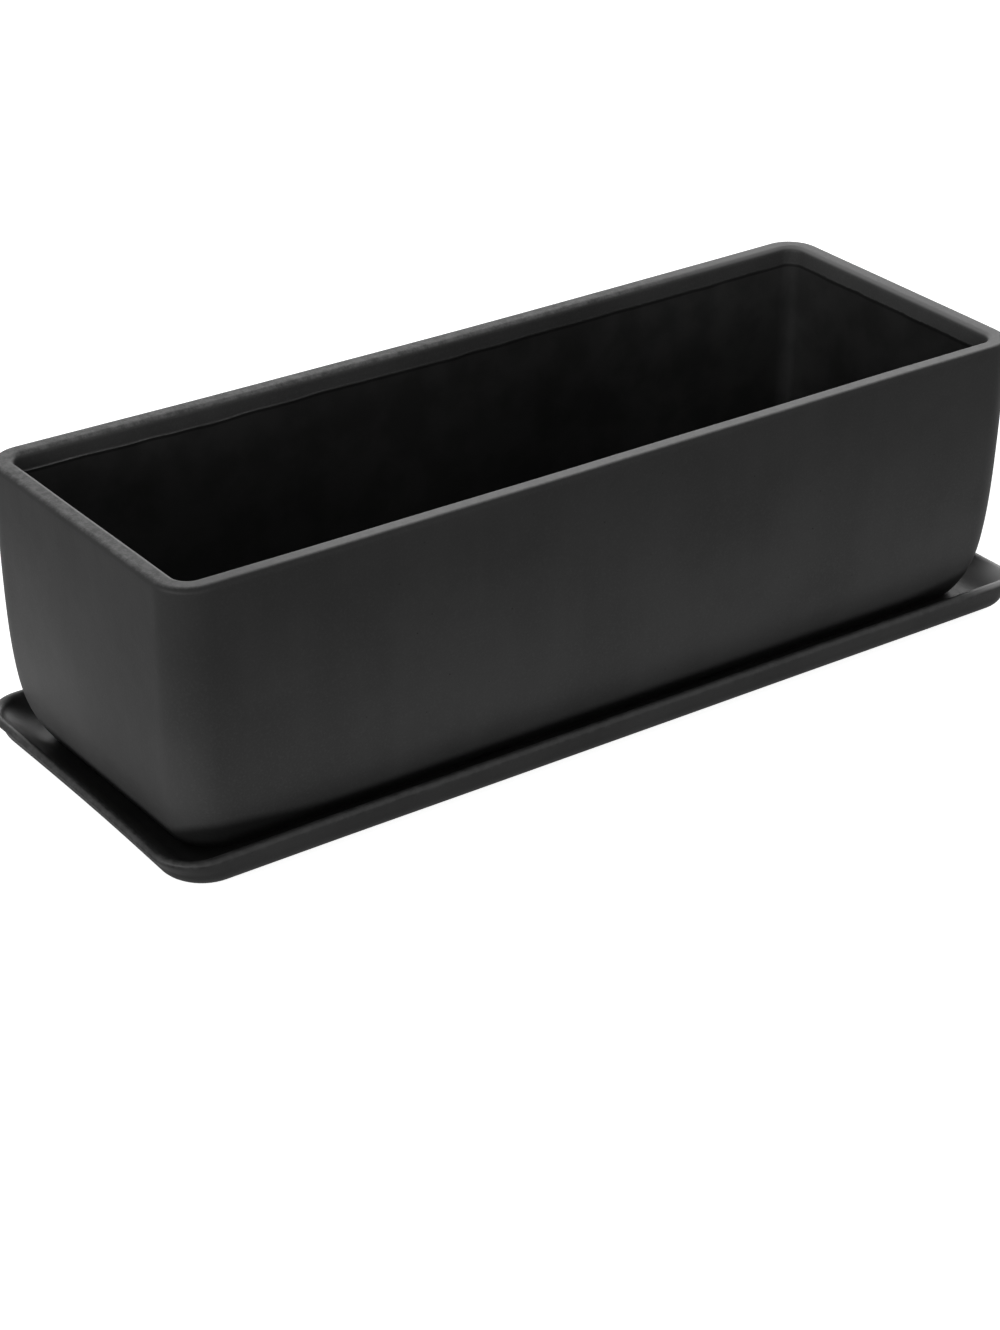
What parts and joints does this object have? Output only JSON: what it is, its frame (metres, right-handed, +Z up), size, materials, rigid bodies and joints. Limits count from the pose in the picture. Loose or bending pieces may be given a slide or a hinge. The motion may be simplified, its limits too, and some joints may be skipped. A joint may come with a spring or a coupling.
{
  "type": "rectangular planter",
  "caption": "Rectangular trough planter with a rounded rim and drain holes, standing in a shallow drip saucer of the same outline; the pot lifts off its saucer.",
  "frame": {"origin": "middle of the saucer's underside, on the surface that the planter stands on", "axes": "+X along the trough, +Y across it toward the back wall, +Z up"},
  "size_m": [0.3104, 0.1164, 0.0923],
  "materials": {
    "pot_glaze": "matte black outside and over the rim, satin black glaze inside, bare fired clay under the foot",
    "saucer_glaze": "satin black with a soft sheen, bare fired clay on the foot ring"
  },
  "bodies": {
    "saucer": {"saucer": "saucer_glaze"},
    "pot": {"pot": "pot_glaze"}
  },
  "joints": [
    {"name": "pot_lift", "type": "slide", "parent": "saucer", "child": "pot", "axis": [0, 0, 1], "range_m": [0, 0.1]}
  ]
}
